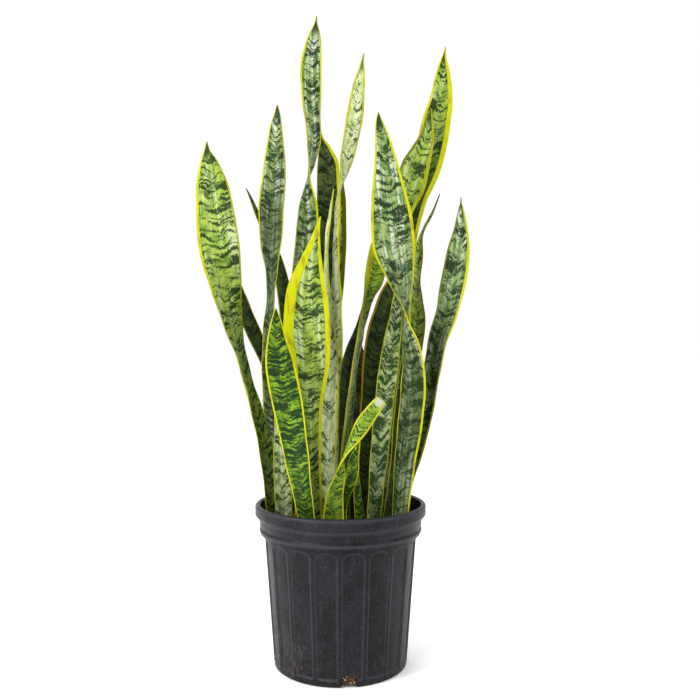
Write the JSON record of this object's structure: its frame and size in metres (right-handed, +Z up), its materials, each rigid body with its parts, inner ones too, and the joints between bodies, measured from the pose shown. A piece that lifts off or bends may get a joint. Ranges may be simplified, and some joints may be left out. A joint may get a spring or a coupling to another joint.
{
  "type": "potted snake plant",
  "caption": "Tall variegated snake plant: upright twisted sword leaves with yellow margins and dark cross-bands, rising from potting mix in a round black fluted nursery pot with drain holes.",
  "frame": {"origin": "centre of the pot's flat underside, on the surface that it stands on", "axes": "+Z up along the pot's axis and the leaves; -Y is the front, the side with a drain hole just right of the middle; +X is to the right as seen from the front"},
  "size_m": [0.3953, 0.254, 0.9754],
  "materials": {
    "pot_plastic": "satin black blow-moulded polyethylene, dusty and lightly scuffed",
    "potting_mix": "rough composted bark and perlite",
    "leaf_banded": "waxy semi-gloss, yellow-green ground, dark green cross-bands, yellow margins",
    "leaf_pale": "waxy semi-gloss, pale grey-green ground, dark cross-bands, yellow margins",
    "leaf_olive": "waxy semi-gloss, dark olive ground, dark bands, olive-yellow margins",
    "leaf_deep_green": "waxy semi-gloss, deep green mottle, yellow margins"
  },
  "bodies": {
    "root": {"leaf_back_olive": "leaf_pale", "leaf_centre_dark": "leaf_olive", "leaf_centre_edge_on": "leaf_pale", "leaf_centre_shaded": "leaf_olive", "leaf_centre_twisted": "leaf_olive", "leaf_far_left": "leaf_banded", "leaf_far_right": "leaf_banded", "leaf_front_broad": "leaf_banded", "leaf_front_cut": "leaf_banded", "leaf_front_short": "leaf_deep_green", "leaf_front_small": "leaf_deep_green", "leaf_left_behind": "leaf_olive", "leaf_left_inner": "leaf_olive", "leaf_left_low": "leaf_pale", "leaf_low_behind": "leaf_olive", "leaf_mid_behind": "leaf_olive", "leaf_right_banded": "leaf_pale", "leaf_right_broad": "leaf_banded", "leaf_right_inner_tall": "leaf_banded", "leaf_right_narrow": "leaf_olive", "leaf_right_shaded": "leaf_olive", "leaf_right_slim": "leaf_banded", "leaf_sprout_left": "leaf_deep_green", "leaf_sprout_right": "leaf_deep_green", "leaf_tall_left": "leaf_banded", "leaf_tallest": "leaf_pale", "leaf_top_right": "leaf_banded", "leaf_upper_centre": "leaf_pale", "nursery_pot": "pot_plastic", "potting_mix": "potting_mix"}
  },
  "joints": []
}
